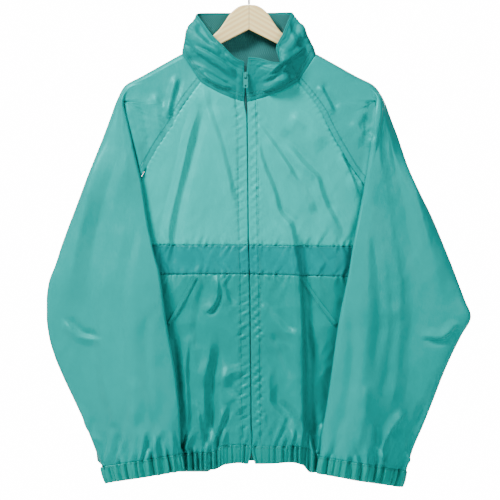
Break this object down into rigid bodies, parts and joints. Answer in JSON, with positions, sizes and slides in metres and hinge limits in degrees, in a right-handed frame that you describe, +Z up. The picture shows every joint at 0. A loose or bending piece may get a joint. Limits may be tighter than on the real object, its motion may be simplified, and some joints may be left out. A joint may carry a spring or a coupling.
{
  "type": "windbreaker jacket on a wooden hanger",
  "caption": "Teal nylon windbreaker with raglan sleeves, stand-up collar, zip front, slanted pockets and gathered cuffs and hem, hung on a pale wooden hanger.",
  "frame": {"origin": "inside top of the hanger's hook, where a rail carries it", "axes": "+Z up; +X toward the wearer's left side, which is the viewer's right; +Y away from the viewer, toward the jacket's back"},
  "size_m": [0.7333, 0.0912, 0.8925],
  "materials": {
    "shell_nylon": "smooth teal nylon with a soft sheen",
    "band_nylon": "teal nylon cut across the grain, a little darker",
    "rib_nylon": "teal nylon gathered over elastic",
    "lining": "dark teal lining with fine upright ribs",
    "zip_tape": "woven tape",
    "zip_plastic": "dark teal moulded coil",
    "zip_metal": "enamelled teal metal",
    "wood": "pale pine, satin varnish",
    "steel": "plated steel wire"
  },
  "bodies": {
    "jacket_on_hanger": {"back": "shell_nylon", "front_yoke_right": "shell_nylon", "front_yoke_left": "shell_nylon", "front_band_right": "band_nylon", "front_band_left": "band_nylon", "front_lower_right": "shell_nylon", "front_lower_left": "shell_nylon", "pocket_edge_right": "shell_nylon", "pocket_edge_left": "shell_nylon", "sleeve_right": "shell_nylon", "sleeve_left": "shell_nylon", "cuff_right": "rib_nylon", "cuff_left": "rib_nylon", "hem_right": "rib_nylon", "hem_left": "rib_nylon", "hem_back": "rib_nylon", "collar": "shell_nylon", "collar_lining": "lining", "zip_tape_right": "zip_tape", "zip_tape_left": "zip_tape", "zip_coil": "zip_plastic", "zip_end_box": "zip_plastic", "zip_slider": "zip_metal", "hanger_arm_right": "wood", "hanger_arm_left": "wood", "hook": "steel"},
    "zip_pull": {"zip_pull": "zip_metal"}
  },
  "joints": [
    {"name": "zip_pull_swing", "type": "hinge", "parent": "jacket_on_hanger", "child": "zip_pull", "pos_m": [-0.0058, -0.03621, -0.1816], "axis": [-1, 0, 0], "range_deg": [0, 110]}
  ]
}
